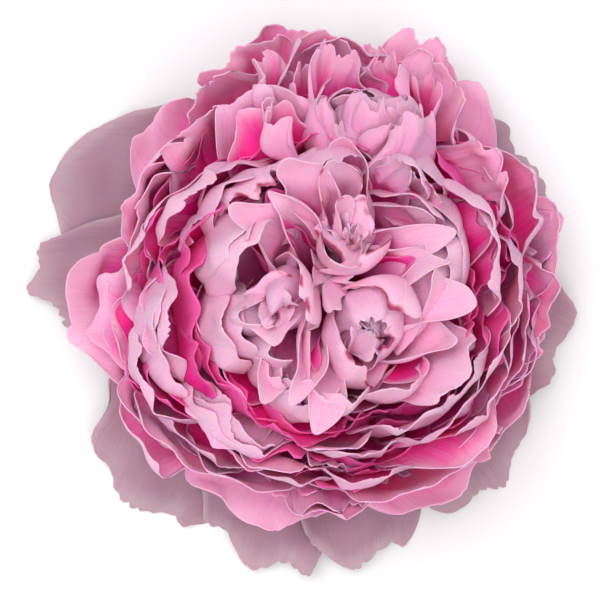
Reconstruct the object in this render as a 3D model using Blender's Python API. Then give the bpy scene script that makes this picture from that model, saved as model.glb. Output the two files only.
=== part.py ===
"""A fully double peony bloom, cut just below its calyx and resting on its back, face up.

The bloom is built the way it grew. A short stem stub swells into a round receptacle. Sepals, guard
petals and the many inner petals all leave the receptacle's surface and fan out from its centre, in
whorls. Each whorl lies between two cones of directions that it shares with no other whorl, so its
petals nest inside the whorl outside it and never touch it. Inside a whorl each petal slants, so that
its left edge lies over its neighbour's right edge, as roof slates do.

Most whorls stand round the upright axis. The crest, a second small rosette at the back of the bloom,
and the three hearts in its middle stand round axes of their own, which lean out from the upright.

Azimuths are degrees anticlockwise from +X, seen from above. Polar angles are degrees from a whorl's
axis: 0 points along the axis, 90 square to it and 180 down the stem. Lengths are metres.
"""

import math
from dataclasses import dataclass

import bmesh
import bpy
from mathutils import Matrix, Vector

# Driving dimensions.
BLOOM_REACH = 0.086  # centre of the receptacle to the tip of a full-length guard petal
RECEPTACLE_RADIUS = 0.009
STEM_RADIUS = 0.0042
STUB_LENGTH = 0.018  # foot of the cut stem to the centre of the receptacle
PETAL_THICKNESS = 0.0008
SEPAL_THICKNESS = 0.0010
SEAT_GAP = 0.0003  # between the receptacle and what grows on it
PETAL_CLAW = 0.0040  # width of a petal where it leaves the receptacle
HEART_CLAW = 0.0024  # width of the narrow claws in the crest and the hearts
SEPAL_CLAW = 0.0060

# The outline that all petals share.
WIDEST_AT = 0.68  # share of the length at which a petal is widest
TIP_NARROWING = 0.24  # share of its width that a petal loses from there to its tip
TIP_ROUNDING = 0.20  # share of its length by which a petal's shoulders are shorter than its middle
CUPPED = 2.4  # how late a cupped petal turns: the power of the distance that its turn follows
MOST_WRAP = 84.0  # degrees each way that a petal may wrap round its whorl's axis
BASE_EVENNESS = 0.65  # 0 starts each petal below its own tip, 1 spaces a whorl's claws evenly

# The crest leans out of the dome and pushes the whorls outside it open.
CREST_LEAN = 55.0
CREST_AZIMUTH = 82.0
CREST_PUSH = 0.85  # share of their turn that the petals right behind the crest lose
CREST_SECTOR = 34.0  # degrees of azimuth to each side over which that push dies away
HEART_LEAN = 16.5  # degrees that each heart's axis leans from the upright, out from the middle

# The receptacle and the stem stub, turned as one piece.
STEM_BEVEL = 0.0005  # round the cut at the stem's foot
STEM_JOINS_AT = 152.0  # polar angle at which the receptacle's ball runs into the stem
BALL_STEPS = 12
TURN_STEPS = 24
WELD_DISTANCE = 1e-6  # turned points nearer than this become one
SHARP_FROM = 40.0  # degrees between two faces from which their edge is drawn sharp

PETAL_ROUGHNESS = 0.6
STEM_ROUGHNESS = 0.55


@dataclass(frozen=True)
class Whorl:
    """One ring of petals: where they leave the receptacle, how they curve, and each petal's place."""

    name: str
    base_angle: float  # polar angle where the petals leave the receptacle
    tip_angle: float  # polar angle that they turn to
    reach: float  # centre of the receptacle to the tip of a petal whose reach share is 1
    width: float  # of a petal whose width share is 1
    petals: tuple  # (azimuth of the tip, reach share, width share) of each petal, anticlockwise
    slant: float  # degrees outwards per degree anticlockwise across a petal
    bend: float = CUPPED  # above 1 the petals turn late and cup, below 1 they turn early and spread
    claw: float = PETAL_CLAW
    lean: float = 0.0  # degrees that the whorl's axis leans from the upright
    lean_azimuth: float = 0.0
    thickness: float = PETAL_THICKNESS
    cells: tuple = (4, 6)  # mesh cells across and along a petal
    colour: tuple = (0.80, 0.42, 0.58, 1.0)


SHADED_PINK = (0.70, 0.52, 0.60, 1.0)
PALE_PINK = (0.84, 0.56, 0.67, 1.0)
ROSE_PINK = (0.80, 0.42, 0.58, 1.0)
DEEP_PINK = (0.74, 0.30, 0.50, 1.0)
SEPAL_GREEN = (0.20, 0.32, 0.10, 1.0)
STEM_GREEN = (0.25, 0.36, 0.12, 1.0)

# A petal's curve follows its distance from the centre as a share of its whorl's reach, and a whorl
# must stay inside the next one out, so the reaches are all tied to BLOOM_REACH.
SEPALS = Whorl(
    name="sepal", base_angle=136, tip_angle=121, reach=0.40 * BLOOM_REACH, width=0.020,
    petals=((20, 1.00, 1.0), (88, 1.32, 0.62), (160, 0.96, 1.0), (232, 1.28, 0.66), (304, 1.02, 0.95)),
    slant=0.0, bend=1.0, claw=SEPAL_CLAW, thickness=SEPAL_THICKNESS, colour=SEPAL_GREEN,
)
GUARDS = Whorl(
    name="guard_petal", base_angle=118, tip_angle=100, reach=BLOOM_REACH, width=0.052,
    petals=(
        (34, 0.90, 0.96), (95, 0.91, 0.95), (151, 1.02, 1.02), (177, 1.02, 0.62), (226, 1.02, 1.00),
        (255, 1.01, 0.66), (279, 0.95, 0.86), (311, 0.92, 0.70), (352, 0.85, 0.98),
    ),
    slant=0.11, bend=0.6, cells=(6, 7), colour=SHADED_PINK,
)
COLLAR = Whorl(
    name="collar_petal", base_angle=101, tip_angle=74, reach=0.87 * BLOOM_REACH, width=0.046,
    petals=(
        (14, 0.93, 1.0), (58, 1.00, 1.0), (101, 1.06, 1.0), (138, 1.00, 0.95), (183, 1.05, 1.0),
        (218, 0.97, 0.95), (252, 0.97, 1.05), (318, 0.94, 1.1),
    ),
    slant=0.08, cells=(5, 6), colour=PALE_PINK,
)
OUTER = Whorl(
    name="outer_petal", base_angle=89.5, tip_angle=63, reach=0.87 * BLOOM_REACH, width=0.042,
    petals=(
        (28, 0.97, 1.0), (70, 1.08, 0.95), (110, 1.06, 0.95), (152, 0.99, 1.0), (226, 0.95, 1.0),
        (292, 0.97, 1.05), (342, 0.92, 1.0),
    ),
    slant=0.08, cells=(5, 6), colour=ROSE_PINK,
)
SECOND = Whorl(
    name="second_petal", base_angle=78, tip_angle=53, reach=0.85 * BLOOM_REACH, width=0.037,
    petals=(
        (2, 0.96, 1.0), (38, 0.99, 0.9), (130, 1.01, 1.0), (168, 0.97, 0.9), (207, 0.95, 1.0),
        (245, 0.95, 1.0), (284, 0.98, 1.0), (325, 0.97, 1.0),
    ),
    slant=0.08, colour=PALE_PINK,
)
MIDDLE = Whorl(
    name="middle_petal", base_angle=65.5, tip_angle=43, reach=0.84 * BLOOM_REACH, width=0.034,
    petals=((14, 1.00, 1.0), (142, 1.00, 0.9), (188, 0.96, 1.0), (235, 0.95, 1.0), (280, 0.98, 1.0),
            (327, 0.98, 1.0)),
    slant=0.07, colour=ROSE_PINK,
)
INNER = Whorl(
    name="inner_petal", base_angle=52, tip_angle=34, reach=0.82 * BLOOM_REACH, width=0.029,
    petals=((14, 1.00, 0.9), (154, 0.98, 0.95), (202, 0.97, 1.0), (254, 0.95, 1.0), (306, 0.97, 1.0)),
    slant=0.06, colour=DEEP_PINK,
)
BRIDGE = Whorl(
    name="bridge_petal", base_angle=34.5, tip_angle=37, reach=0.80 * BLOOM_REACH, width=0.030,
    petals=((84, 1.0, 1.0),), slant=0.0, claw=HEART_CLAW, colour=ROSE_PINK,
)
CREST = Whorl(
    name="crest_petal", base_angle=13, tip_angle=14, reach=0.88 * BLOOM_REACH, width=0.027,
    petals=((45, 1.03, 1.0), (135, 1.01, 1.0), (225, 0.94, 1.0), (315, 0.97, 1.0)),
    slant=0.045, claw=HEART_CLAW, lean=CREST_LEAN, lean_azimuth=CREST_AZIMUTH, colour=ROSE_PINK,
)
HEARTS = tuple(
    Whorl(
        name=f"{name}_heart_petal", base_angle=10, tip_angle=12.5, reach=reach * BLOOM_REACH, width=0.040,
        petals=((azimuth, 1.0, 1.0), (azimuth + 180, 0.96, 0.97)),
        slant=0.0, claw=HEART_CLAW, lean=HEART_LEAN, lean_azimuth=lean_azimuth, colour=PALE_PINK,
    )
    for name, reach, azimuth, lean_azimuth in (
        ("left", 0.79, 200, 192), ("front", 0.78, 60, 315), ("back", 0.77, 110, 73))
)
WHORLS = (SEPALS, GUARDS, COLLAR, OUTER, SECOND, MIDDLE, INNER, BRIDGE, CREST, *HEARTS)
PUSHED_OPEN = (COLLAR, OUTER, SECOND)


def ease(share):
    """0 to 1 with a level start and a level end."""
    share = min(1.0, max(0.0, share))
    return share * share * (3 - 2 * share)


def width_share(whorl, width, along):
    """Half the width of a petal at this share of its length."""
    if along < WIDEST_AT:
        return (whorl.claw + (width - whorl.claw) * ease(along / WIDEST_AT)) / 2
    past = (along - WIDEST_AT) / (1 - WIDEST_AT)
    return width * (1 - TIP_NARROWING * past * past) / 2


def base_azimuths(whorl):
    """Where each petal's claw stands on the receptacle: between its tip's azimuth and equal spacing."""
    step = 360 / len(whorl.petals)
    tips = [petal[0] for petal in whorl.petals]
    start = sum(tip - i * step for i, tip in enumerate(tips)) / len(tips)
    return [tip + (start + i * step - tip) * BASE_EVENNESS for i, tip in enumerate(tips)]


def whorl_frame(whorl):
    """Turns a direction about the upright axis into the whorl's own leaning axis."""
    turned = Matrix.Rotation(math.radians(whorl.lean_azimuth), 3, "Z")
    return turned @ Matrix.Rotation(math.radians(whorl.lean), 3, "Y") @ turned.inverted()


def polar_angle(whorl, distance, azimuth):
    """The whorl's polar angle at this distance from the receptacle's centre, before any slant."""
    start = RECEPTACLE_RADIUS + SEAT_GAP
    turn = (whorl.base_angle - whorl.tip_angle) * ((distance - start) / (whorl.reach - start)) ** whorl.bend
    if whorl in PUSHED_OPEN:
        away = (azimuth - CREST_AZIMUTH + 180) % 360 - 180
        turn *= 1 - CREST_PUSH * math.exp(-((away / CREST_SECTOR) ** 2))
    return whorl.base_angle - turn


def petal_point(whorl, frame, base_azimuth, petal, across, along):
    """A point of a petal's middle surface. across runs from -1 to 1 and along from 0 to 1."""
    tip_azimuth, reach_share, width_of = petal
    start = RECEPTACLE_RADIUS + SEAT_GAP
    shoulder = 1 - TIP_ROUNDING * abs(across) ** 3 * ease(along)
    distance = start + (whorl.reach * reach_share - start) * along * shoulder
    middle = base_azimuth + (tip_azimuth - base_azimuth) * ease(along)
    half = width_share(whorl, whorl.width * width_of, along)
    round_axis = distance * math.sin(math.radians(polar_angle(whorl, distance, middle)))
    off_centre = across * min(math.degrees(half / round_axis), MOST_WRAP)
    polar = polar_angle(whorl, distance, middle + off_centre) + whorl.slant * off_centre
    polar, azimuth = math.radians(polar), math.radians(middle + off_centre)
    direction = Vector((math.sin(polar) * math.cos(azimuth), math.sin(polar) * math.sin(azimuth),
                        math.cos(polar)))
    return frame @ direction * distance


def material(name, colour, roughness):
    """A plain finish of one colour."""
    made = bpy.data.materials.get(name) or bpy.data.materials.new(name)
    made.use_nodes = True
    shader = made.node_tree.nodes["Principled BSDF"]
    shader.inputs["Base Color"].default_value = colour
    shader.inputs["Roughness"].default_value = roughness
    shader.inputs["Metallic"].default_value = 0.0
    return made


def add_object(name, mesh, finish):
    """An object for a finished bmesh, shaded smooth, centred on the receptacle."""
    data = bpy.data.meshes.new(name)
    mesh.to_mesh(data)
    mesh.free()
    data.shade_smooth()
    data.materials.append(finish)
    made = bpy.data.objects.new(name, data)
    bpy.context.scene.collection.objects.link(made)
    return made


def make_petal(whorl, frame, number, base_azimuth, petal):
    """One petal or sepal: a grid bent to the petal's surface and given its thickness."""
    across_cells, along_cells = whorl.cells
    sheet = bmesh.new()
    bmesh.ops.create_grid(sheet, x_segments=across_cells, y_segments=along_cells, size=1.0)
    for vertex in sheet.verts:
        across, along = vertex.co.x, (vertex.co.y + 1) / 2
        vertex.co = petal_point(whorl, frame, base_azimuth, petal, across, along)
    finish = material(whorl.name, whorl.colour, PETAL_ROUGHNESS)
    made = add_object(f"{whorl.name}_{number}", sheet, finish)
    skin = made.modifiers.new("Thickness", "SOLIDIFY")
    skin.thickness = whorl.thickness
    skin.offset = 0.0
    return made


def make_whorl(whorl):
    """All the petals of a whorl."""
    frame = whorl_frame(whorl)
    return [
        make_petal(whorl, frame, number, base_azimuth, petal)
        for number, (base_azimuth, petal) in enumerate(zip(base_azimuths(whorl), whorl.petals), 1)
    ]


def make_stem():
    """The stem stub and the receptacle that it swells into, turned about the upright axis."""
    joins = math.radians(STEM_JOINS_AT)
    neck = Vector((RECEPTACLE_RADIUS * math.sin(joins), 0, RECEPTACLE_RADIUS * math.cos(joins)))
    profile = [
        Vector((0, 0, -STUB_LENGTH)),
        Vector((STEM_RADIUS - STEM_BEVEL, 0, -STUB_LENGTH)),
        Vector((STEM_RADIUS, 0, -STUB_LENGTH + STEM_BEVEL)),
        Vector((STEM_RADIUS, 0, (neck.z - STUB_LENGTH) / 2)),
    ]
    for step in range(BALL_STEPS + 1):
        polar = joins * (1 - step / BALL_STEPS)
        profile.append(RECEPTACLE_RADIUS * Vector((math.sin(polar), 0, math.cos(polar))))
    turned = bmesh.new()
    corners = [turned.verts.new(point) for point in profile]
    edges = [turned.edges.new(pair) for pair in zip(corners, corners[1:])]
    bmesh.ops.spin(turned, geom=corners + edges, cent=(0, 0, 0), axis=(0, 0, 1),
                   angle=2 * math.pi, steps=TURN_STEPS)
    bmesh.ops.remove_doubles(turned, verts=turned.verts, dist=WELD_DISTANCE)
    bmesh.ops.recalc_face_normals(turned, faces=turned.faces)
    made = add_object("stem_stub", turned, material("stem", STEM_GREEN, STEM_ROUGHNESS))
    made.data.set_sharp_from_angle(angle=math.radians(SHARP_FROM))
    return made


def stand_on_origin(objects):
    """Moves the bloom so that it stands on z = 0 with the centre of its box over the origin."""
    bpy.context.view_layer.update()
    graph = bpy.context.evaluated_depsgraph_get()
    low, high = Vector((1, 1, 1)), Vector((-1, -1, -1))
    for made in objects:
        for vertex in made.evaluated_get(graph).data.vertices:
            low = Vector(map(min, low, vertex.co))
            high = Vector(map(max, high, vertex.co))
    centre = (low + high) / 2
    for made in objects:
        made.location = (-centre.x, -centre.y, -low.z)


def main():
    for old in list(bpy.data.objects):
        bpy.data.objects.remove(old)
    objects = [make_stem()]
    for whorl in WHORLS:
        objects += make_whorl(whorl)
    stand_on_origin(objects)


main()
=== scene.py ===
"""A fully double peony bloom, lying on its back on a pale table and seen from straight above.

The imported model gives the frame: where the receptacle is, and where each petal's claw, tip and edges
are. Every petal here is a fine, frilled, veined sheet laid over one of the model's plain petals, or
one of the narrow frilled petals that fill the room between two whorls. A petal lies on the cone of
its whorl: its polar angle, counted from the whorl's axis, depends on the distance from the
receptacle's centre. Azimuths are degrees anticlockwise from +X, seen from above. Lengths are metres.
"""

import logging
import math
from dataclasses import dataclass, field, replace
from enum import Enum

import bpy
import numpy as np
from mathutils import Matrix, Vector


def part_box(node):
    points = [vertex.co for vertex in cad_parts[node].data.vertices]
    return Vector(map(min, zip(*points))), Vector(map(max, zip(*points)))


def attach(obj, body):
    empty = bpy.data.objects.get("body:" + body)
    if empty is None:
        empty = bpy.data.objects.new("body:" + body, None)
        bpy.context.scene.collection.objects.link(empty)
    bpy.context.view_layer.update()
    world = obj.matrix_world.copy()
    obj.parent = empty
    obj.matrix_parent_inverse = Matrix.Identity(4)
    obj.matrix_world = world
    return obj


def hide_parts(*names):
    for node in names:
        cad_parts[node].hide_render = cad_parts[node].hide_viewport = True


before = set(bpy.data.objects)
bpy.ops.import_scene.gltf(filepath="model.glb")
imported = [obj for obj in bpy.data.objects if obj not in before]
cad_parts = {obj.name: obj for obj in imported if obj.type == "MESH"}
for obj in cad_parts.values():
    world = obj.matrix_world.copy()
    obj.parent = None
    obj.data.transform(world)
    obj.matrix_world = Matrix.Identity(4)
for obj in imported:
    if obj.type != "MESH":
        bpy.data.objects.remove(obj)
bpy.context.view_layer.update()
LOG = logging.getLogger("peony")
BODY = "root"

Colour = tuple[float, float, float, float]  # linear red, green and blue, and an alpha


def srgb(red: int, green: int, blue: int) -> Colour:
    """The shader's linear colour for an ordinary 0 to 255 screen colour.

    Args:
        red, green, blue: the screen colour's channels.

    Returns:
        Linear red, green, blue and an alpha of 1.
    """
    def linear(channel: int) -> float:
        """One channel made linear."""
        share = channel / 255
        return share / 12.92 if share <= 0.04045 else ((share + 0.055) / 1.055) ** 2.4

    return linear(red), linear(green), linear(blue), 1.0


def smooth(low: float, high: float, values: np.ndarray) -> np.ndarray:
    """0 where values are below low and 1 above high, with a level start and end."""
    share = np.clip((values - low) / (high - low), 0.0, 1.0)
    return share * share * (3 - 2 * share)


# ---------------------------------------------------------------- finishes


class Graph:
    """A material's node tree, with short calls that add a node and wire it."""

    def __init__(self, name: str) -> None:
        """Starts a material with a plain Principled shader.

        Args:
            name: the material's name.
        """
        self.material = bpy.data.materials.new(name)
        self.material.use_nodes = True
        self.tree = self.material.node_tree
        self.shader = self.tree.nodes["Principled BSDF"]

    def node(self, kind: str, inputs: dict | None = None, **settings: object) -> bpy.types.Node:
        """Adds a node.

        Args:
            kind: the node's type.
            inputs: values, or sockets to link, by input name or number.
            settings: the node's own properties.

        Returns:
            The new node.
        """
        made = self.tree.nodes.new(kind)
        for name, value in settings.items():
            setattr(made, name, value)
        for name, value in (inputs or {}).items():
            if isinstance(value, bpy.types.NodeSocket):
                self.tree.links.new(value, made.inputs[name])
            else:
                made.inputs[name].default_value = value
        return made

    def math(self, operation: str, *values: object) -> bpy.types.NodeSocket:
        """The result of a Math node on up to three values or sockets."""
        inputs = dict(enumerate(values))
        return self.node("ShaderNodeMath", inputs, operation=operation).outputs[0]

    def step(self, value: object, low: float, high: float) -> bpy.types.NodeSocket:
        """A smooth step.

        Args:
            value: the socket that is stepped.
            low: where the step starts from 0.
            high: where it reaches 1. A high that is less than low makes a falling step.

        Returns:
            The step's socket.
        """
        inputs = {"Value": value, "From Min": low, "From Max": high}
        made = self.node("ShaderNodeMapRange", inputs, interpolation_type="SMOOTHSTEP")
        return made.outputs["Result"]

    def blend(self, share: object, first: object, second: object) -> bpy.types.NodeSocket:
        """A mixed colour.

        Args:
            share: 0 for the first colour and 1 for the second, as a number or a socket.
            first, second: colours or sockets.

        Returns:
            The mixed colour's socket.
        """
        made = self.node("ShaderNodeMix", data_type="RGBA")
        for number, value in ((0, share), (6, first), (7, second)):
            if isinstance(value, bpy.types.NodeSocket):
                self.tree.links.new(value, made.inputs[number])
            else:
                made.inputs[number].default_value = value
        return made.outputs[2]

    def noise(self, vector: object, scale: float, detail: float = 3.0) -> bpy.types.NodeSocket:
        """Noise from 0 to 1 over a vector."""
        inputs = {"Vector": vector, "Scale": scale, "Detail": detail}
        return self.node("ShaderNodeTexNoise", inputs).outputs["Fac"]

    def scatter(self, weight: float, radius: tuple[float, float, float], scale: float) -> None:
        """Lets light into the tissue.

        Args:
            weight: the share of the light that goes in.
            radius: how far red, green and blue go, as shares of the scale.
            scale: in metres.
        """
        self.shader.inputs["Subsurface Weight"].default_value = weight
        self.shader.inputs["Subsurface Radius"].default_value = radius
        self.shader.inputs["Subsurface Scale"].default_value = scale

    def finish(self, colour: object, roughness: object, height: object, depth: float) -> None:
        """Wires the shader.

        Args:
            colour, roughness: the sockets that give them.
            height: the socket that gives the bump's relief.
            depth: the relief's depth in metres.
        """
        bump = self.node("ShaderNodeBump", {"Height": height, "Distance": depth, "Strength": 1.0})
        self.tree.links.new(colour, self.shader.inputs["Base Color"])
        self.tree.links.new(roughness, self.shader.inputs["Roughness"])
        self.tree.links.new(bump.outputs["Normal"], self.shader.inputs["Normal"])


@dataclass(frozen=True)
class PetalFinish:
    """A petal's colours from claw to rim on each face, its veins and its bloom of fine down.

    The face that looks towards the bloom's middle is the deeper one, and the outer face is pale towards the tip. On
    the outer face the magenta runs far up from the claw: partly the petal's own colour and partly painted shade on
    the lower parts that lie in shade between petals.
    """

    name: str
    deep: Colour  # at the claw
    flush: Colour  # between the two
    body: Colour  # towards the tip
    rim: Colour
    deep_ends: float = 0.72  # shares of the length, on the inner face
    body_starts: float = 0.98
    outer_flush_and_painted_shade_ends: float = 0.88  # share of the length, on the outer face, where its magenta ends: partly the petal's own colour and partly painted shade on the lower parts
    vein: float = 0.35  # strength of the veins
    rim_mark: float = 0.0  # strength of the crimson marks on the rim
    mark: Colour = srgb(168, 12, 84)
    roughness: float = 0.62
    glow: float = 0.85
    glow_radius: tuple[float, float, float] = (1.0, 0.12, 0.34)
    glow_depth: float = 0.0007
    gloss: float = 0.14
    down: float = 0.05
    down_roughness: float = 0.45
    vein_spacing: tuple[float, float, float] = (46.0, 1.6, 1.0)  # across, along
    fine_vein_spacing: tuple[float, float, float] = (150.0, 3.0, 1.0)
    cloud_scale: float = 70.0
    mark_scale: float = 110.0
    relief: float = 0.0003

    def build(self) -> bpy.types.Material:
        """Builds the material, which reads the petal's UV map and its blush and inside attributes.

        Returns:
            The material.
        """
        graph = Graph(self.name)
        place = graph.node("ShaderNodeUVMap").outputs["UV"]
        parts = graph.node("ShaderNodeSeparateXYZ", {0: place})
        across, along = parts.outputs["X"], parts.outputs["Y"]
        blush = graph.node("ShaderNodeAttribute", attribute_name="blush").outputs["Fac"]
        inside = graph.node("ShaderNodeAttribute", attribute_name="inside").outputs["Fac"]
        point = graph.node("ShaderNodeTexCoord").outputs["Object"]

        stretched = graph.node("ShaderNodeMapping", {"Vector": place, "Scale": self.vein_spacing})
        vein = graph.noise(stretched.outputs["Vector"], 1.0, 4.0)
        fine = graph.node("ShaderNodeMapping", {"Vector": place, "Scale": self.fine_vein_spacing})
        fine_vein = graph.noise(fine.outputs["Vector"], 1.0, 2.0)
        cloud = graph.noise(point, self.cloud_scale, 3.0)

        wander = graph.math("MULTIPLY_ADD", graph.math("SUBTRACT", cloud, 0.5), 0.30, along)
        wander = graph.math("MULTIPLY_ADD", graph.math("SUBTRACT", vein, 0.5), 0.16, wander)
        wander = graph.math("ADD", wander, graph.math("MULTIPLY_ADD", blush, -0.5, 0.25))
        inner = graph.blend(graph.step(wander, 0.42, self.deep_ends), self.deep, self.flush)
        inner = graph.blend(graph.step(wander, self.deep_ends - 0.04, self.body_starts), inner, self.body)
        # Outer face: magenta from the claw far up the petal, partly its own colour and partly painted shade where it
        # lies hidden in shade.
        pale_from = self.outer_flush_and_painted_shade_ends
        outer = graph.blend(graph.step(wander, pale_from - 0.46, pale_from - 0.20), self.deep, self.flush)
        outer = graph.blend(graph.step(wander, pale_from - 0.26, pale_from), outer, self.body)
        colour = graph.blend(inside, outer, inner)

        side = graph.math("ABSOLUTE", graph.math("MULTIPLY_ADD", across, 2.0, -1.0))
        ragged = graph.math("MULTIPLY_ADD", graph.math("SUBTRACT", fine_vein, 0.5), 0.10, along)
        rim = graph.math("MAXIMUM", graph.step(ragged, 0.88, 1.0),
                         graph.math("MULTIPLY", graph.step(side, 0.80, 1.0), graph.step(along, 0.35, 0.8)))
        patchy = graph.math("MULTIPLY_ADD", cloud, 0.9, 0.10)
        colour = graph.blend(graph.math("MULTIPLY", rim, patchy), colour, self.rim)

        lines = graph.math("MULTIPLY", graph.step(vein, 0.52, 0.70), self.vein)
        colour = graph.blend(graph.math("MULTIPLY", lines, graph.step(along, 1.02, 0.6)), colour, self.flush)
        if self.rim_mark:
            edge = graph.math("MAXIMUM", graph.step(along, 0.966, 0.99), graph.step(side, 0.965, 0.99))
            spots = graph.math("MULTIPLY", edge, graph.step(graph.noise(point, self.mark_scale, 2.0), 0.50, 0.60))
            colour = graph.blend(graph.math("MULTIPLY", spots, self.rim_mark), colour, self.mark)

        roughness = graph.math("MULTIPLY_ADD", cloud, 0.16, self.roughness - 0.08)
        relief = graph.math("MULTIPLY_ADD", fine_vein, 0.35, vein)
        graph.finish(colour, roughness, relief, self.relief)
        graph.scatter(self.glow, self.glow_radius, self.glow_depth)
        graph.shader.inputs["Specular IOR Level"].default_value = self.gloss
        graph.shader.inputs["Sheen Weight"].default_value = self.down
        graph.shader.inputs["Sheen Roughness"].default_value = self.down_roughness
        return graph.material


GREEN_SCATTER = (0.1, (0.5, 1.0, 0.3), 0.002)  # how light enters green tissue: weight, radius, scale


@dataclass(frozen=True)
class GreenFinish:
    """Green tissue: a ground colour, a flush towards one end, and lengthwise ribs."""

    name: str
    ground: Colour
    shade: Colour
    flush: Colour
    ribs: float
    roughness: float = 0.5
    relief: float = 0.0003

    def build(self) -> bpy.types.Material:
        """Builds the material, which reads the piece's UV map and object coordinates.

        Returns:
            The material.
        """
        graph = Graph(self.name)
        place = graph.node("ShaderNodeUVMap").outputs["UV"]
        along = graph.node("ShaderNodeSeparateXYZ", {0: place}).outputs["Y"]
        point = graph.node("ShaderNodeTexCoord").outputs["Object"]
        ribbed = graph.node("ShaderNodeMapping", {"Vector": place, "Scale": (self.ribs, 1.2, 1.0)})
        rib = graph.noise(ribbed.outputs["Vector"], 1.0, 3.0)
        cloud = graph.noise(point, 160.0, 4.0)
        colour = graph.blend(graph.step(cloud, 0.35, 0.65), self.ground, self.shade)
        colour = graph.blend(graph.math("MULTIPLY", graph.step(rib, 0.5, 0.66), 0.45), colour, self.shade)
        colour = graph.blend(graph.math("MULTIPLY", graph.step(along, 0.72, 1.0), 0.8), colour, self.flush)
        roughness = graph.math("MULTIPLY_ADD", cloud, 0.2, self.roughness - 0.1)
        graph.finish(colour, roughness, graph.math("MULTIPLY_ADD", cloud, 0.4, rib), self.relief)
        graph.scatter(*GREEN_SCATTER)
        return graph.material


@dataclass(frozen=True)
class StemFinish:
    """Green stem skin with fine lengthwise ribs, paling at the cut, where the wet pith shows."""

    name: str = "stem_tissue"
    ground: Colour = srgb(128, 150, 78)
    shade: Colour = srgb(98, 122, 58)
    cut: Colour = srgb(196, 206, 150)
    cut_rise: float = 0.0009
    roughness: float = 0.52
    relief: float = 0.0002

    def build(self, foot: float) -> bpy.types.Material:
        """Builds the material, which reads object coordinates.

        Args:
            foot: the height of the cut face.

        Returns:
            The material.
        """
        graph = Graph(self.name)
        point = graph.node("ShaderNodeTexCoord").outputs["Object"]
        height = graph.node("ShaderNodeSeparateXYZ", {0: point}).outputs["Z"]
        ribbed = graph.node("ShaderNodeMapping", {"Vector": point, "Scale": (1.0, 1.0, 0.07)})
        rib = graph.noise(ribbed.outputs["Vector"], 1500.0, 2.0)
        cloud = graph.noise(point, 260.0, 4.0)
        colour = graph.blend(graph.step(cloud, 0.36, 0.64), self.ground, self.shade)
        colour = graph.blend(graph.math("MULTIPLY", graph.step(rib, 0.45, 0.62), 0.4), colour, self.shade)
        colour = graph.blend(graph.step(height, foot + self.cut_rise, foot), colour, self.cut)
        roughness = graph.math("MULTIPLY_ADD", cloud, 0.2, self.roughness - 0.1)
        graph.finish(colour, roughness, graph.math("MULTIPLY_ADD", cloud, 0.4, rib), self.relief)
        graph.scatter(*GREEN_SCATTER)
        return graph.material


# Painted shade: the guard petals' own pale, greyish pink is darkened and greyed further, standing in for the shade
# that the dome casts on them.
GUARD_PAINTED_SHADE_FINISH = PetalFinish(
    name="guard_petal_painted_shade_tissue", deep=srgb(186, 84, 130), flush=srgb(168, 118, 140),
    body=srgb(178, 142, 158), rim=srgb(206, 186, 194), deep_ends=0.50, body_starts=0.80,
    outer_flush_and_painted_shade_ends=0.60, vein=0.30)
SKIRT_FINISH = PetalFinish(
    name="skirt_petal_tissue", deep=srgb(246, 0, 140), flush=srgb(236, 80, 176),
    body=srgb(236, 178, 212), rim=srgb(242, 199, 221), outer_flush_and_painted_shade_ends=0.80)
BALL_FINISH = PetalFinish(
    name="ball_petal_tissue", deep=srgb(250, 0, 122), flush=srgb(244, 58, 160),
    body=srgb(240, 174, 210), rim=srgb(244, 197, 220), outer_flush_and_painted_shade_ends=0.82)
# Painted shade: magenta-crimson from claw to rim, for the filler petals that stand in for the crimson shade deep in
# the gaps.
UNDER_PAINTED_SHADE_FINISH = replace(BALL_FINISH, name="under_petal_painted_shade_tissue", deep=srgb(248, 0, 120), flush=srgb(242, 16, 136),
                       body=srgb(240, 66, 158), rim=srgb(240, 122, 184))
CREST_FINISH = PetalFinish(
    name="crest_petal_tissue", deep=srgb(250, 0, 122), flush=srgb(240, 62, 158),
    body=srgb(234, 166, 204), rim=srgb(240, 193, 216), outer_flush_and_painted_shade_ends=0.82)
# Partly painted shade: the heart petals' magenta runs far up the inner face (deep_ends, body_starts). Their own
# colour is carried further so that the folds between them read pink in shade. The fold finish below shares it.
HEART_FINISH = PetalFinish(
    name="heart_petal_tissue", deep=srgb(252, 0, 120), flush=srgb(250, 116, 186),
    body=srgb(248, 182, 214), rim=srgb(250, 201, 222), deep_ends=0.68, body_starts=0.95,
    outer_flush_and_painted_shade_ends=0.62, vein=0.25, rim_mark=0.9)
FOLD_FINISH = replace(HEART_FINISH, name="fold_petal_tissue", rim_mark=0.0)
SEPAL_FINISH = GreenFinish(
    name="sepal_tissue", ground=srgb(126, 148, 82), shade=srgb(98, 122, 62), flush=srgb(158, 84, 92), ribs=26.0)


# ---------------------------------------------------------------- petals


@dataclass(frozen=True)
class PetalShape:
    """How a petal departs from the plain cone of its whorl."""

    ruffle: float = 0.0014  # height of the waves at the margin
    waves: float = 2.6  # waves across the petal
    cup: float = 4.0  # degrees that both side edges turn towards the axis
    roll: float = 25.0  # degrees that the tip rolls towards the axis, or away from it if negative
    roll_from: float = 0.70  # share of the length at which the roll starts
    rounding: float = 0.20  # share of the length by which the shoulders are shorter
    rounding_power: float = 2.8  # near 1 the tip is pointed, above 2 it is blunt
    lobes: float = 0.05  # share of the length cut out between broad lobes
    lobe_count: float = 1.5
    fringe: float = 0.025  # share of the length cut out between fine teeth
    teeth: float = 6.0
    width: float = 1.0  # times the width that its place gives
    blush: float = 0.5  # 0 is palest and 1 the most magenta


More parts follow.
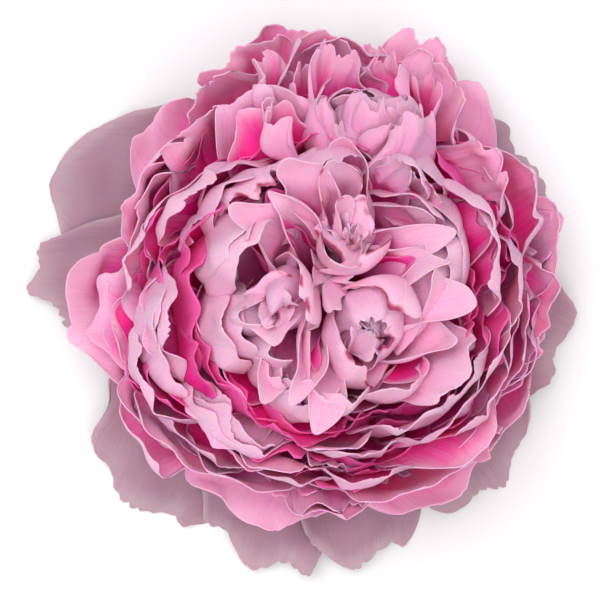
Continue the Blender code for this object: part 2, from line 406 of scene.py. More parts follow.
class Style(Enum):
    """The ways in which this bloom's petals are formed."""

    GUARD = PetalShape(ruffle=0.0016, waves=1.5, cup=0.5, roll=-6, roll_from=0.6, rounding=0.12, lobes=0.05,
                       lobe_count=1.1, fringe=0.018, teeth=6, width=1.2)
    ROUND_GUARD = PetalShape(ruffle=0.0014, waves=1.2, cup=0.5, roll=-6, roll_from=0.6, rounding=0.24,
                             rounding_power=2.1, lobes=0.008, fringe=0.005, teeth=5, width=1.24)
    STRIP = PetalShape(ruffle=0.0015, waves=1.7, cup=4, roll=62, roll_from=0.66, rounding=0.14, lobes=0.040,
                       lobe_count=1.2, fringe=0.014, teeth=6)
    FRILL = PetalShape(ruffle=0.0016, waves=2.4, cup=4, roll=28, rounding=0.18, lobes=0.06, lobe_count=1.7,
                       fringe=0.034, teeth=7)
    LEAF = PetalShape(ruffle=0.0006, waves=1.0, cup=7, roll=14, rounding=0.34, rounding_power=1.8, lobes=0.01,
                      fringe=0.005, teeth=4)
    HOOD = PetalShape(ruffle=0.0008, waves=1.2, cup=8, roll=62, roll_from=0.60, rounding=0.20, lobes=0.02,
                      lobe_count=1.0, fringe=0.006, teeth=4)
    FLAP = PetalShape(ruffle=0.0014, waves=1.5, cup=1, roll=-34, roll_from=0.66, rounding=0.16, lobes=0.04,
                      lobe_count=1.2, fringe=0.012, teeth=5)
    CURL = PetalShape(ruffle=0.0009, waves=1.9, cup=3, roll=100, roll_from=0.74, rounding=0.16, lobes=0.04,
                      fringe=0.020, teeth=5)
    BUD = PetalShape(ruffle=0.0004, waves=1.0, cup=0, roll=104, roll_from=0.79, rounding=0.10, lobes=0.02,
                     lobe_count=1.0, fringe=0.006, teeth=3)
    SPEAR = PetalShape(ruffle=0.0006, waves=1.0, cup=4, roll=46, roll_from=0.60, rounding=0.36, rounding_power=1.7,
                       lobes=0.01, fringe=0.006, teeth=3)
    BIG_LOBE = PetalShape(ruffle=0.0018, waves=1.4, cup=2, roll=-26, roll_from=0.70, rounding=0.13, lobes=0.05,
                          lobe_count=1.1, fringe=0.010, teeth=4, width=1.12)
    SEPAL = PetalShape(ruffle=0.0004, waves=1.0, cup=6, roll=-10, rounding=0.34, rounding_power=2.0, lobes=0.0,
                       fringe=0.004, teeth=3)


@dataclass(frozen=True)
class Seat:
    """Where a petal grows: its claw's azimuth, its tip's azimuth, its reach and its greatest width."""

    base_azimuth: float
    tip_azimuth: float
    reach: float
    width: float


@dataclass(frozen=True)
class Cone:
    """The surface that a whorl's petals lie on, about an axis through the receptacle's centre."""

    base_angle: float
    tip_angle: float
    reach: float
    slant: float
    bend: float = 2.4
    lean: float = 0.0
    lean_azimuth: float = 0.0
    pushed_open: bool = False

    def turned(self) -> np.ndarray:
        """The rotation that leans the upright axis into this cone's axis.

        Returns:
            A 3 by 3 matrix.
        """
        round_z = Matrix.Rotation(math.radians(self.lean_azimuth), 3, "Z")
        tipped = round_z @ Matrix.Rotation(math.radians(self.lean), 3, "Y") @ round_z.inverted()
        return np.array(tipped)

    def polar(self, distance: np.ndarray, azimuth: np.ndarray, claw_distance: float) -> np.ndarray:
        """The polar angle in degrees, before any slant.

        Args:
            distance: from the receptacle's centre.
            azimuth: about the cone's axis, in degrees.
            claw_distance: the distance at which petals leave the receptacle.

        Returns:
            The angle between the cone's axis and the surface at that distance and azimuth.
        """
        share = np.maximum(distance - claw_distance, 0) / (self.reach - claw_distance)
        turn = (self.base_angle - self.tip_angle) * share**self.bend
        if self.pushed_open:
            away = (azimuth - Crest.azimuth + 180) % 360 - 180
            turn = turn * (1 - Crest.push * np.exp(-((away / Crest.sector) ** 2)))
        return self.base_angle - turn

    def between(self, inner: "Cone", share: float) -> "Cone":
        """A cone that lies between this one and a cone inside it.

        Args:
            inner: the cone inside this one.
            share: 0 gives this cone and 1 the inner one.

        Returns:
            The cone between them.
        """
        def mixed(first: float, second: float) -> float:
            """The value that lies the same share of the way."""
            return first + (second - first) * share

        return replace(
            self, base_angle=mixed(self.base_angle, inner.base_angle),
            tip_angle=mixed(self.tip_angle, inner.tip_angle), reach=mixed(self.reach, inner.reach),
            slant=mixed(self.slant, inner.slant), bend=mixed(self.bend, inner.bend))


class Crest:
    """The rosette at the back of the dome, which pushes the whorls outside it open."""

    azimuth = 82.0
    lean = 55.0
    push = 0.85
    sector = 34.0


@dataclass
class Receptacle:
    """The round receptacle that all petals and sepals grow from, and the cut stem under it."""

    seat_gap: float = 0.0003
    stem_radius: float = 0.0042
    bevel: float = 0.0005
    stem_joins_at: float = 152.0  # polar angle at which the ball runs into the stem
    sharp_from: float = 40.0  # degrees between faces at which an edge stays sharp
    waist: float = 0.97  # times the stem's radius, half-way up the stem
    ball_sides: int = 48
    ball_rings: int = 18
    centre: Vector = field(init=False)
    radius: float = field(init=False)

    def __post_init__(self) -> None:
        """Reads the receptacle's centre and radius from the model."""
        low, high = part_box("stem_stub")
        self.radius = (high.x - low.x) / 2
        self.centre = Vector(((low.x + high.x) / 2, (low.y + high.y) / 2, high.z - self.radius))

    @property
    def claw_distance(self) -> float:
        """The distance from the centre at which petals start."""
        return self.radius + self.seat_gap

    def build(self) -> bpy.types.Object:
        """Makes the stem stub and receptacle: rings drawn out of the cut face, one above another.

        Returns:
            The finished piece, riding on the bloom.
        """
        joins = math.radians(self.stem_joins_at)
        stem_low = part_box("stem_stub")[0].z
        stem_radius = self.stem_radius
        neck = self.centre.z + self.radius * math.cos(joins)
        rings = [(stem_radius, stem_low + self.bevel), (stem_radius * self.waist, (stem_low + neck) / 2)]
        for step in range(self.ball_rings):
            polar = joins * (1 - step / self.ball_rings)
            rings.append((self.radius * math.sin(polar), self.centre.z + self.radius * math.cos(polar)))
        bpy.ops.object.select_all(action="DESELECT")
        bpy.ops.mesh.primitive_circle_add(
            vertices=self.ball_sides, radius=stem_radius - self.bevel, fill_type="NGON",
            location=(self.centre.x, self.centre.y, stem_low))
        piece = bpy.context.active_object
        piece.name = piece.data.name = "fine_stem_stub"
        bpy.ops.object.transform_apply(location=True, rotation=True, scale=True)
        bpy.ops.object.mode_set(mode="EDIT")
        bpy.ops.mesh.select_all(action="SELECT")
        radius, height = stem_radius - self.bevel, stem_low
        for next_radius, next_height in rings:
            bpy.ops.mesh.extrude_region_move(TRANSFORM_OT_translate={"value": (0, 0, next_height - height)})
            share = next_radius / radius
            bpy.ops.transform.resize(value=(share, share, 1), center_override=(self.centre.x, self.centre.y, 0))
            radius, height = next_radius, next_height
        bpy.ops.mesh.extrude_region_move(
            TRANSFORM_OT_translate={"value": (0, 0, self.centre.z + self.radius - height)})
        bpy.ops.mesh.merge(type="CENTER")
        bpy.ops.mesh.select_all(action="SELECT")
        bpy.ops.mesh.normals_make_consistent(inside=False)
        bpy.ops.object.mode_set(mode="OBJECT")
        bpy.ops.object.shade_smooth()
        piece.data.set_sharp_from_angle(angle=math.radians(self.sharp_from))
        piece.data.materials.append(StemFinish().build(stem_low))
        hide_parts("stem_stub")
        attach(piece, BODY)
        return piece


class Warp:
    """A gentle swell shared by all the petals, so that no two petals are alike.

    One swell moves all of them, so it makes none cross that did not cross before. It moves points by
    smooth waves that depend on their place alone, and dies away at the receptacle.
    """

    def __init__(self, centre: Vector, seed: int = 11) -> None:
        """Draws the waves.

        Args:
            centre: the receptacle's centre, where nothing moves.
            seed: fixes the waves.
        """
        random = np.random.default_rng(seed)
        self.centre = np.array(centre)
        self.waves = []
        for length, height, count in ((0.062, 0.0017, 5), (0.026, 0.00095, 7), (0.0125, 0.00045, 9)):
            for _ in range(count):
                heading = random.normal(size=3)
                push = random.normal(size=3)
                self.waves.append((
                    heading / np.linalg.norm(heading) * 2 * math.pi / length,
                    push / np.linalg.norm(push) * height, random.uniform(0, 2 * math.pi)))

    def apply(self, points: np.ndarray) -> np.ndarray:
        """Moves points by the swell.

        Args:
            points: one row of x, y and z for each.

        Returns:
            The moved points.
        """
        away = points - self.centre
        fade = smooth(0.014, 0.060, np.linalg.norm(away, axis=1))[:, None]
        moved = sum(push * np.sin(away @ wave + phase)[:, None] for wave, push, phase in self.waves)
        return points + moved * fade


def unit_normals(directions: np.ndarray) -> np.ndarray:
    """Each row scaled to length 1."""
    return directions / np.linalg.norm(directions, axis=1)[:, None]


@dataclass
class PetalMaker:
    """Makes the fine petals: sheets laid on a cone, shaped, given thickness and dressed."""

    receptacle: Receptacle
    warp: Warp
    claw_width: float = 0.0040
    thickness: float = 0.00034
    widest_at: float = 0.68
    tip_narrowing: float = 0.24
    most_wrap: float = 84.0
    tip_crowding: float = 1.35  # above 1 the rows lie closer together towards the tip
    floor_clearance: float = 0.0004
    made: int = 0

    def sheet(self, name: str, columns: int, rows: int) -> bpy.types.Object:
        """Adds a flat grid two units wide and long, with a UV map.

        Args:
            name: the piece's name.
            columns, rows: its cells across and along.

        Returns:
            The new piece.
        """
        bpy.ops.object.select_all(action="DESELECT")
        bpy.ops.mesh.primitive_grid_add(x_subdivisions=columns, y_subdivisions=rows, size=2.0)
        made = bpy.context.active_object
        made.name = made.data.name = name
        return made

    def crowded(self, share: np.ndarray) -> np.ndarray:
        """Moves even shares of the length towards the tip, kept between 0 and 1."""
        return 1 - np.clip(1 - share, 0, 1) ** self.tip_crowding

    def surface(
        self, cone: Cone, seat: Seat, shape: PetalShape, across: np.ndarray, along: np.ndarray, seed: int
    ) -> np.ndarray:
        """The points of a petal's middle surface.

        Args:
            cone: the whorl's cone.
            seat: where this petal grows.
            shape: how it departs from the cone.
            across: from -1 to 1 over the petal's width.
            along: from 0 at the claw to 1 at the tip.
            seed: fixes the petal's own waves.

        Returns:
            One row of x, y and z for each point.
        """
        random = np.random.default_rng(seed)
        phase = random.uniform(0, 2 * math.pi, 10)
        start = self.receptacle.claw_distance
        length = seat.reach - start

        lobed = 0.5 - 0.5 * np.cos(2 * math.pi * shape.lobe_count * across + phase[0])
        toothed = np.abs(np.sin(math.pi * shape.teeth * across + phase[1] + 1.4 * np.sin(3 * across + phase[2])))
        toothed = (1 - toothed) * (0.6 + 0.4 * np.sin(5 * across + phase[3]))
        cut = shape.rounding * np.abs(across) ** shape.rounding_power + shape.lobes * lobed + shape.fringe * toothed
        run = along * (1 - cut * smooth(0.45, 1.0, along))

        rolled = np.clip((run - shape.roll_from) / (1 - shape.roll_from), 0, None)
        roll = math.radians(max(abs(shape.roll), 1.0))
        over = (1 - shape.roll_from) * length
        forward = np.where(rolled > 0, shape.roll_from + (1 - shape.roll_from) * np.sin(roll * rolled) / roll, run)
        sideways = math.copysign(1, shape.roll) * over * (1 - np.cos(roll * rolled)) / roll
        distance = start + length * forward

        grown = smooth(0, 1, along / self.widest_at)
        past = np.clip((along - self.widest_at) / (1 - self.widest_at), 0, 1)
        half = (self.claw_width + (seat.width * shape.width - self.claw_width) * grown) / 2
        half = half * (1 - self.tip_narrowing * past**2)
        half = half * (1 + 0.05 * np.sin(7 * along + phase[4] * np.sign(across)) * smooth(0.3, 0.7, along))

        middle = seat.base_azimuth + (seat.tip_azimuth - seat.base_azimuth) * smooth(0, 1, along)
        polar = cone.polar(distance, middle, start)
        round_axis = distance * np.sin(np.radians(np.maximum(polar, 1.0)))
        off = across * np.minimum(np.degrees(half / np.maximum(round_axis, 1e-4)), self.most_wrap)
        polar = cone.polar(distance, middle + off, start) + cone.slant * off
        polar = polar - shape.cup * across**2 * smooth(0.25, 0.9, along)

        frill = np.sin(math.pi * shape.waves * across + phase[5] + 1.2 * np.sin(2.3 * across + phase[6]))
        frill = frill + 0.35 * np.sin(2.7 * math.pi * shape.waves * across + phase[7] + 3 * along)
        frill = frill * smooth(0.50, 1.0, along) * (0.55 + 0.45 * across**2)
        flounce = np.sin(2 * math.pi * 2.2 * along + phase[8] * np.sign(across)) * across**4 * smooth(0.3, 0.7, along)
        push = shape.ruffle * (frill + 0.7 * flounce) - sideways
        polar = polar + np.degrees(push / distance)

        polar, azimuth = np.radians(polar), np.radians(middle + off)
        rays = np.stack([np.sin(polar) * np.cos(azimuth), np.sin(polar) * np.sin(azimuth), np.cos(polar)], 1)
        points = (rays * distance[:, None]) @ cone.turned().T + np.array(self.receptacle.centre)
        points = self.warp.apply(points)
        low = self.floor_clearance
        points[:, 2] = np.where(points[:, 2] < 4 * low, low + 3 * low * np.exp((points[:, 2] - 4 * low) / (3 * low)),
                                points[:, 2])
        return points

    def petal(
        self, name: str, cone: Cone, seat: Seat, shape: PetalShape, material: bpy.types.Material,
        cells: tuple[int, int] = (40, 44),
    ) -> bpy.types.Object:
        """Makes one petal.

        Args:
            name: the piece's name.
            cone, seat, shape: where it lies and how it is formed.
            material: its finish.
            cells: mesh cells across and along.

        Returns:
            The finished piece, riding on the bloom.
        """
        self.made += 1
        piece = self.sheet(name, *cells)
        mesh = piece.data
        flat = np.empty(len(mesh.vertices) * 3)
        mesh.vertices.foreach_get("co", flat)
        flat = flat.reshape(-1, 3)
        along = self.crowded((flat[:, 1] + 1) / 2)
        points = self.surface(cone, seat, shape, flat[:, 0], along, self.made)
        mesh.vertices.foreach_set("co", points.ravel())
        places = mesh.uv_layers.active.data
        uv = np.empty(len(places) * 2)
        places.foreach_get("uv", uv)
        uv = uv.reshape(-1, 2)
        uv[:, 1] = self.crowded(uv[:, 1])
        places.foreach_set("uv", uv.ravel())
        outer_points = len(mesh.vertices)
        skin = piece.modifiers.new("Thickness", "SOLIDIFY")
        skin.thickness = self.thickness
        skin.offset = 0.0
        bpy.ops.object.modifier_apply(modifier=skin.name)
        inside = (np.arange(len(mesh.vertices)) >= outer_points).astype(np.float32)
        for name_of, values in (("blush", np.full(len(inside), shape.blush, np.float32)), ("inside", inside)):
            mesh.attributes.new(name_of, "FLOAT", "POINT").data.foreach_set("value", values)
        mesh.materials.append(material)
        bpy.ops.object.shade_smooth()
        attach(piece, BODY)
        return piece


@dataclass
class Whorl:
    """One ring of the model's petals, made fine."""

    node: str
    slot: str
    cone: Cone
    style: Style
    finish: PetalFinish | GreenFinish
    own: dict[int, tuple[Style, float]] = field(default_factory=dict)  # style and blush, by petal number

    def nodes(self) -> list[str]:
        """The names of the model's petals in this whorl."""
        return sorted(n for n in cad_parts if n.rsplit("_", 1)[0] == self.node)

    def seat_of(self, node: str, receptacle: Receptacle) -> Seat:
        """Measures where a petal of the model grows.

        Args:
            node: the petal's name.
            receptacle: where it grows from.

        Returns:
            The petal's seat about this whorl's axis.
        """
        points = np.array([v.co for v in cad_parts[node].data.vertices]) - np.array(receptacle.centre)
        local = points @ self.cone.turned()
        distance = np.linalg.norm(local, axis=1)
        reach = distance.max()

        def mean_azimuth(chosen: np.ndarray) -> float:
            """The direction of some points' mean ray.

            Args:
                chosen: which points.

            Returns:
                The azimuth in degrees.
            """
            rays = unit_normals(local[chosen][:, :2] + 1e-12)
            total = rays.sum(0)
            return math.degrees(math.atan2(total[1], total[0]))

        base = mean_azimuth(distance < receptacle.claw_distance * 1.12)
        tip = mean_azimuth(distance > 0.93 * reach)
        base = tip + (base - tip + 180) % 360 - 180
        azimuth = np.degrees(np.arctan2(local[:, 1], local[:, 0]))
        share = smooth(0, 1, (distance - receptacle.claw_distance) / (reach - receptacle.claw_distance))
        off = (azimuth - (base + (tip - base) * share) + 180) % 360 - 180
        widths = np.abs(np.radians(off)) * np.hypot(local[:, 0], local[:, 1])
        return Seat(base, tip, reach, 2 * widths[distance > 0.3 * reach].max())

    def build(self, maker: PetalMaker, material: bpy.types.Material) -> int:
        """Makes this whorl's petals.

        Args:
            maker: makes the petals.
            material: their finish.

        Returns:
            How many there are.
        """
        nodes = self.nodes()
        for number, node in enumerate(nodes, 1):
            random = np.random.default_rng(1000 + 37 * number + len(self.node))
            style, blush = self.own.get(number, (self.style, 0.5 + random.uniform(-0.14, 0.14)))
            shape = replace(style.value, blush=blush, roll=style.value.roll * random.uniform(0.8, 1.2))
            piece = maker.petal(f"fine_{node}", self.cone, self.seat_of(node, maker.receptacle), shape, material)
            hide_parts(node)
        return len(nodes)


@dataclass(frozen=True)
class Extra:
    """A petal that only the fine bloom has: its tip's azimuth, reach, width, style and blush."""

    azimuth: float
    reach: float
    width: float
    style: Style
    blush: float = 0.5
    base_shift: float = 0.0


def ring(
    start: float, end: float, count: int, reach: float, width: float, styles: tuple[Style, ...], seed: int,
    blush: float = 0.5,
) -> list[Extra]:
    """A row of petals that draw on a few styles, with small differences.

    Args:
        start, end: the arc of azimuths that the row covers.
        count: how many petals.
        reach: of the longest one.
        width: their mean width.
        styles: how they may be formed.
        seed: fixes the differences.
        blush: their mean blush.

    Returns:
        The petals, anticlockwise.
    """
    random = np.random.default_rng(seed)
    step = (end - start) / count
    return [
        Extra(start + step * (number + random.uniform(0.25, 0.75)), reach * random.uniform(0.90, 1.0),
              width * random.uniform(0.8, 1.2), styles[random.integers(len(styles))],
              blush + random.uniform(-0.2, 0.2), random.uniform(-5, 5))
        for number in range(count)
    ]


@dataclass
class Row:
    """Extra petals that share one cone."""

    name: str
    cone: Cone
    slot: str
    finish: PetalFinish
    petals: list[Extra]
    cells: tuple[int, int] = (30, 38)

    def build(self, maker: PetalMaker, material: bpy.types.Material) -> int:
        """Makes the row.

        Args:
            maker: makes the petals.
            material: their finish.

        Returns:
            How many petals it has.
        """
        for number, extra in enumerate(self.petals, 1):
            random = np.random.default_rng(31 * number + len(self.name))
            seat = Seat(extra.azimuth + extra.base_shift, extra.azimuth, extra.reach, extra.width)
            shape = replace(
                extra.style.value, blush=extra.blush, roll=extra.style.value.roll * random.uniform(0.75, 1.2),
                ruffle=extra.style.value.ruffle * random.uniform(0.8, 1.3))
            piece = maker.petal(f"{self.name}_{number}", self.cone, seat, shape, material, self.cells)
        return len(self.petals)


GUARD_CONE = Cone(118, 100, 0.086, 0.11, bend=0.6)
COLLAR_CONE = Cone(101, 74, 0.0748, 0.08, pushed_open=True)
OUTER_CONE = Cone(89.5, 63, 0.0748, 0.08, pushed_open=True)
SECOND_CONE = Cone(78, 53, 0.0731, 0.08, pushed_open=True)
MIDDLE_CONE = Cone(65.5, 43, 0.0722, 0.07)
INNER_CONE = Cone(52, 34, 0.0705, 0.06)
BRIDGE_CONE = Cone(34.5, 37, 0.0688, 0.0)
CREST_CONE = Cone(13, 14, 0.0757, 0.045, lean=Crest.lean, lean_azimuth=Crest.azimuth)
SEPAL_CONE = Cone(136, 121, 0.0344, 0.0, bend=1.0)


def heart_cone(reach: float, azimuth: float) -> Cone:
    """The cone of a heart that leans out at this azimuth."""
    return Cone(10, 16, reach, 0.0, lean=17.5, lean_azimuth=azimuth)


HEARTS = {
    "left": heart_cone(0.0679, 192),
    "front": heart_cone(0.0671, 315),
    "back": heart_cone(0.0662, 73),
}

HEART_GAPS = (132, 254, 14)  # azimuths half-way between the hearts
COARSE = (20, 24)  # mesh cells of the petals that show least


class Bloom:
    """All the petals and sepals of the bloom."""

    def whorls(self) -> list[Whorl]:
        """The model's whorls, outermost first.

        Returns:
            The whorls.
        """
        big = {5: (Style.BIG_LOBE, 0.45), 2: (Style.FLAP, 0.1), 3: (Style.STRIP, 0.7), 4: (Style.FLAP, 0.4),
               7: (Style.BIG_LOBE, 0.1)}
        return [
            Whorl("sepal", "sepal", SEPAL_CONE, Style.SEPAL, SEPAL_FINISH),
            Whorl("guard_petal", "guard_petal", GUARD_CONE, Style.GUARD, GUARD_PAINTED_SHADE_FINISH,
                  {3: (Style.ROUND_GUARD, 0.2)}),
            Whorl("collar_petal", "collar_petal", COLLAR_CONE, Style.STRIP, SKIRT_FINISH, big),
            Whorl("outer_petal", "outer_petal", OUTER_CONE, Style.STRIP, BALL_FINISH,
                  {3: (Style.FRILL, 0.5), 2: (Style.FRILL, 0.4)}),
            Whorl("second_petal", "second_petal", SECOND_CONE, Style.STRIP, BALL_FINISH,
                  {2: (Style.FRILL, 0.3), 3: (Style.FRILL, 0.5)}),
            Whorl("middle_petal", "middle_petal", MIDDLE_CONE, Style.STRIP, BALL_FINISH),
            Whorl("inner_petal", "inner_petal", INNER_CONE, Style.HOOD, FOLD_FINISH),
            Whorl("bridge_petal", "crest_petal", BRIDGE_CONE, Style.LEAF, CREST_FINISH),
            Whorl("crest_petal", "crest_petal", CREST_CONE, Style.FRILL, CREST_FINISH),
            Whorl("left_heart_petal", "heart_petal", HEARTS["left"], Style.BUD, HEART_FINISH,
                  {1: (Style.HOOD, 0.3), 2: (Style.BUD, 0.1)}),
            Whorl("front_heart_petal", "heart_petal", HEARTS["front"], Style.BUD, HEART_FINISH),
            Whorl("back_heart_petal", "heart_petal", HEARTS["back"], Style.SPEAR, HEART_FINISH,
                  {1: (Style.LEAF, 0.2), 2: (Style.BUD, 0.1)}),
        ]

    def ball_rows(self) -> list[Row]:
        """Long rims that show as strips between the dome's whorls.

        Returns:
            The rows.
        """
        nested = (
            ("collar", COLLAR_CONE, OUTER_CONE, 0.074, 0.046), ("outer", OUTER_CONE, SECOND_CONE, 0.073, 0.044),
            ("second", SECOND_CONE, MIDDLE_CONE, 0.072, 0.040), ("middle", MIDDLE_CONE, INNER_CONE, 0.071, 0.036))
        first = (Style.STRIP, Style.STRIP, Style.HOOD, Style.FLAP)
        second = (Style.STRIP, Style.FRILL, Style.HOOD)
        rows = []
        for seed, (name, outside, inside, reach, width) in enumerate(nested, 40):
            slot = f"{name}_petal"
            rows.append(Row(f"{name}_rim_a", outside.between(inside, 0.36), slot, BALL_FINISH,
                            ring(125, 400, 7, reach, width, first, seed)))
            if name in ("collar", "second"):
                rows.append(Row(f"{name}_rim_b", outside.between(inside, 0.70), slot, BALL_FINISH,
                                ring(170, 385, 5, reach * 0.985, width * 0.95, second, seed + 20)))
        return rows

    def under_rows(self) -> list[Row]:
        """The short petals deep between the rims and low between the hearts. Most are magenta all over: painted shade
        that stands in for the crimson shade in those gaps.

        Returns:
            The rows.
        """
        cones = (COLLAR_CONE, OUTER_CONE, SECOND_CONE, MIDDLE_CONE, INNER_CONE)
        slots = ("collar_petal", "outer_petal", "second_petal", "middle_petal")
        rows = [
            Row(f"{slot}_under_{level + 1}", outside.between(inside, share), slot,
                SKIRT_FINISH if outside is COLLAR_CONE else UNDER_PAINTED_SHADE_FINISH,
                ring(23 * level, 360 + 23 * level, 8, 0.0665, 0.042, (Style.FRILL, Style.STRIP),
                     7 * level + len(slot), 0.9), cells=COARSE)
            for slot, outside, inside in zip(slots, cones, cones[1:])
            for level, share in enumerate((0.22, 0.54, 0.86))
        ]
        # Magenta sheets low in the gaps between the hearts: painted shade for the crimson shade there.
        for level, (base, tip, shift, width) in enumerate((
                (26, 34, -11, 0.020), (25, 33, 11, 0.020), (17, 25, 0, 0.013)), 1):
            rows.append(Row(
                f"heart_gap_{level}", Cone(base, tip, 0.062, 0.0), "heart_petal", UNDER_PAINTED_SHADE_FINISH,
                [Extra(gap + shift, 0.0600, width, Style.LEAF, 0.7) for gap in HEART_GAPS], cells=COARSE))
        rows.append(Row("heart_middle", Cone(3.5, 5.5, 0.0650, 0.0), "heart_petal", FOLD_FINISH,
                        ring(30, 390, 3, 0.0645, 0.0085, (Style.HOOD,), 63, 0.4), cells=COARSE))
        return rows

    def heart_rows(self) -> list[Row]:
        """The closed petals inside the hearts, and the pale ones that fold round them.

        Returns:
            The rows.
        """
        rows = []
        folded = {"left": (Style.HOOD,), "front": (Style.BUD, Style.CURL), "back": (Style.HOOD, Style.LEAF)}
        for seed, (name, cone) in enumerate(HEARTS.items(), 3):
            for level, (angle, reach_share) in enumerate(((10.0, 1.0), (5.5, 0.99), (2.4, 0.98))):
                inner = replace(cone, base_angle=angle, tip_angle=angle * 1.25)
                width = 4.4 * reach_share * cone.reach * math.sin(math.radians(inner.tip_angle))
                first = 40 + 53 * seed + 80 * level
                rows.append(Row(
                    f"{name}_heart_core_{level + 1}", inner, "heart_petal", HEART_FINISH,
                    ring(first, first + 360, 2, cone.reach * reach_share, width, folded[name],
                         70 + seed + 9 * level, 0.25)))
            for level, angle in enumerate((7.8, 4.0), 1):
                inner = replace(cone, base_angle=angle, tip_angle=angle * 1.1)
                rows.append(Row(f"{name}_heart_eye_{level}", inner, "heart_petal", FOLD_FINISH,
                                ring(20 * seed, 360 + 20 * seed, 3, 0.93 * cone.reach, 0.0014 * angle + 0.002,
                                     (Style.HOOD,), 80 + seed + 5 * level, 0.5), cells=COARSE))
        for name, gap in (("left_fan", 122), ("low_fan", 252), ("right_fan", 12)):
            for level, (base, tip, reach, shift, width) in enumerate((
                    (22, 35, 0.0700, -17, 0.027), (18, 33, 0.0705, 15, 0.027), (15, 29, 0.0690, -2, 0.022)), 1):
                rows.append(Row(f"{name}_{level}", Cone(base, tip, reach, 0.03), "heart_petal", FOLD_FINISH,
                                [Extra(gap + shift, reach, width, Style.LEAF, 0.25)]))
        core = Cone(31, 32, 0.068, 0.05)
        # The nest petals' high blush of 0.8 is partly painted shade: it turns the gaps round the hearts crimson.
        for name, share, reach, count, width, styles in (
                ("nest_a", 0.10, 0.0610, 7, 0.038, (Style.LEAF,)),
                ("nest_b", 0.60, 0.0620, 6, 0.036, (Style.LEAF, Style.STRIP))):
            rows.append(Row(name, INNER_CONE.between(core, share), "inner_petal", BALL_FINISH,
                            ring(0, 360, count, reach, width, styles, int(share * 100) + 5, 0.8)))
        rows.append(Row("heart_fold_a", INNER_CONE.between(core, 0.42), "inner_petal", FOLD_FINISH, [
            Extra(156, 0.0715, 0.038, Style.HOOD, 0.45), Extra(203, 0.0680, 0.032, Style.HOOD, 0.35),
            Extra(240, 0.0665, 0.032, Style.STRIP, 0.30), Extra(282, 0.0675, 0.034, Style.HOOD, 0.35),
            Extra(328, 0.0700, 0.034, Style.FLAP, 0.1), Extra(4, 0.0700, 0.034, Style.HOOD, 0.7),
            Extra(40, 0.0700, 0.032, Style.LEAF, 0.35)]))
        rows.append(Row("heart_fold_b", INNER_CONE.between(core, 0.80), "heart_petal", FOLD_FINISH, [
            Extra(148, 0.0700, 0.026, Style.SPEAR, 0.2),
            Extra(222, 0.0670, 0.028, Style.HOOD, 0.2), Extra(256, 0.0660, 0.034, Style.STRIP, 0.15),
            Extra(338, 0.0690, 0.028, Style.LEAF, 0.15), Extra(40, 0.0690, 0.028, Style.LEAF, 0.25)]))
        return rows

    def crest_rows(self) -> list[Row]:
        """The crest's own folds and the frilled petals between it and the dome.

        Returns:
            The rows.
        """
        rows = []
        for level, (angle, reach, count, styles) in enumerate((
                (10.5, 0.0745, 4, (Style.STRIP, Style.CURL)), (7.0, 0.0730, 3, (Style.CURL, Style.HOOD)),
                (3.8, 0.0715, 2, (Style.HOOD,)))):
            width = 5.0 * reach * math.sin(math.radians(angle))
            cone = replace(CREST_CONE, base_angle=angle, tip_angle=angle)
            rows.append(Row(f"crest_fold_{level + 1}", cone, "crest_petal", CREST_FINISH,
                            ring(20 * level, 20 * level + 360, count, reach, width, styles, 90 + level)))
        for name, angle, reach, count, seed in (
                ("crest_skirt_a", 18, 0.0778, 6, 97), ("crest_skirt_b", 23, 0.0796, 7, 98)):
            rows.append(Row(
                name, replace(CREST_CONE, base_angle=angle, tip_angle=angle + 2), "crest_petal", CREST_FINISH,
                ring(-75, 235, count, reach, 0.032, (Style.STRIP, Style.FRILL, Style.HOOD), seed, 0.6)))
        rows.append(Row("bridge_frill", Cone(37, 40, 0.071, 0.0), "crest_petal", CREST_FINISH,
                        [Extra(92, 0.0715, 0.030, Style.CURL, 0.6), Extra(60, 0.0700, 0.022, Style.FRILL, 0.4)]))
        rows.append(Row("back_curls", Cone(46, 38, 0.071, 0.05), "inner_petal", HEART_FINISH,
                        [Extra(124, 0.0710, 0.026, Style.CURL, 0.2), Extra(103, 0.0700, 0.020, Style.CURL, 0.3),
                         Extra(46, 0.0720, 0.024, Style.FRILL, 0.3)]))
        for name, base, tip, seed in (("back_shoulder_a", 62, 49, 5), ("back_shoulder_b", 55, 43, 6)):
            rows.append(Row(name, Cone(base, tip, 0.074, 0.05), "middle_petal", BALL_FINISH,
                            ring(100, 140, 2, 0.0750, 0.032, (Style.HOOD, Style.FLAP), seed, 0.6)
                            + ring(20, 60, 2, 0.0750, 0.030, (Style.STRIP, Style.HOOD), seed + 3, 0.5)))
        rows.append(Row("back_skirt", OUTER_CONE.between(SECOND_CONE, 0.5), "outer_petal", BALL_FINISH,
                        [Extra(64, 0.0790, 0.036, Style.FRILL, 0.3), Extra(88, 0.0790, 0.036, Style.STRIP, 0.6),
                         Extra(118, 0.0780, 0.038, Style.FRILL, 0.5)]))
        return rows

    def build(self, maker: PetalMaker) -> None:
        """Makes every petal and sepal.

        Args:
            maker: makes them.
        """
        materials: dict[str, bpy.types.Material] = {}
        for group in (*self.whorls(), *self.ball_rows(), *self.under_rows(), *self.heart_rows(), *self.crest_rows()):
            finish = group.finish
            if finish.name not in materials:
                materials[finish.name] = finish.build()
            LOG.info("%s: %d pieces", getattr(group, "node", None) or group.name,
                     group.build(maker, materials[finish.name]))


# ---------------------------------------------------------------- stage


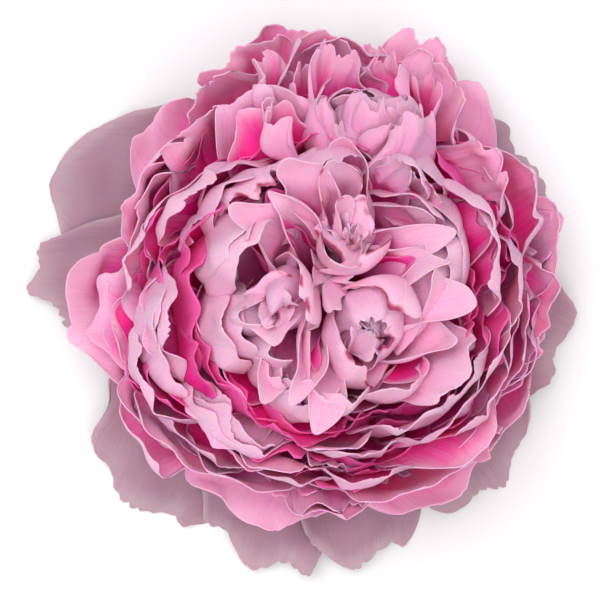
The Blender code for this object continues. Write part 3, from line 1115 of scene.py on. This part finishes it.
@dataclass
class Studio:
    """The pale table, the soft light and the camera that looks straight down."""

    camera_height: float = 0.66
    lens: float = 134.0
    sensor: float = 36.0
    floor_side: float = 6.0
    floor_white: float = 0.93
    key_place: tuple[float, float, float] = (-0.24, 0.30, 1.15)
    key_size: float = 0.7
    key_power: float = 6.8
    fill_place: tuple[float, float, float] = (0.12, -0.36, 1.15)
    fill_size: float = 0.9
    fill_power: float = 5.4
    aimed_at: tuple[float, float, float] = (0.0, 0.0, 0.03)
    air: float = 0.52  # strength of the light from all round

    def floor(self) -> bpy.types.Object:
        """Adds the plain pale floor.

        Returns:
            The floor.
        """
        bpy.ops.object.select_all(action="DESELECT")
        bpy.ops.mesh.primitive_plane_add(size=self.floor_side, location=(0, 0, 0))
        made = bpy.context.active_object
        made.name = "table_top"
        graph = Graph("pale_table")
        graph.shader.inputs["Base Color"].default_value = (*[self.floor_white] * 3, 1.0)
        graph.shader.inputs["Roughness"].default_value = 0.9
        graph.shader.inputs["Specular IOR Level"].default_value = 0.1
        made.data.materials.append(graph.material)
        return made

    def light(self, name: str, place: Vector, size: float, power: float) -> bpy.types.Object:
        """Adds a square soft light aimed at the bloom.

        Args:
            name: the light's name.
            place: its centre.
            size: its side.
            power: in watts.

        Returns:
            The light.
        """
        data = bpy.data.lights.new(name, "AREA")
        data.size = size
        data.energy = power
        made = bpy.data.objects.new(name, data)
        made.location = place
        made.rotation_euler = (Vector(self.aimed_at) - place).to_track_quat("-Z", "Y").to_euler()
        bpy.context.scene.collection.objects.link(made)
        return made

    def camera(self) -> bpy.types.Object:
        """Adds the camera, straight above the bloom, with the crest at the top of the view.

        Returns:
            The camera.
        """
        data = bpy.data.cameras.new("camera")
        data.lens = self.lens
        data.sensor_width = self.sensor
        data.clip_start = 0.01
        made = bpy.data.objects.new("camera", data)
        made.location = (0.0, 0.0, self.camera_height)
        bpy.context.scene.collection.objects.link(made)
        bpy.context.scene.camera = made
        return made

    def build(self) -> None:
        """Sets up the whole stage."""
        self.floor()
        self.light("key_light", Vector(self.key_place), self.key_size, self.key_power)
        self.light("fill_light", Vector(self.fill_place), self.fill_size, self.fill_power)
        self.camera()
        world = bpy.data.worlds.new("studio_air")
        world.use_nodes = True
        background = world.node_tree.nodes["Background"].inputs
        background["Color"].default_value = (1.0, 1.0, 1.0, 1.0)
        background["Strength"].default_value = self.air
        scene = bpy.context.scene
        scene.world = world
        scene.view_settings.view_transform = "Standard"


def main() -> None:
    """Builds the bloom and its stage."""
    logging.basicConfig(level=logging.INFO, format="%(name)s: %(message)s")
    receptacle = Receptacle()
    maker = PetalMaker(receptacle, Warp(receptacle.centre))
    Bloom().build(maker)
    receptacle.build()
    LOG.info("%d petals in all", maker.made)
    Studio().build()


if __name__ == "__main__":
    main()
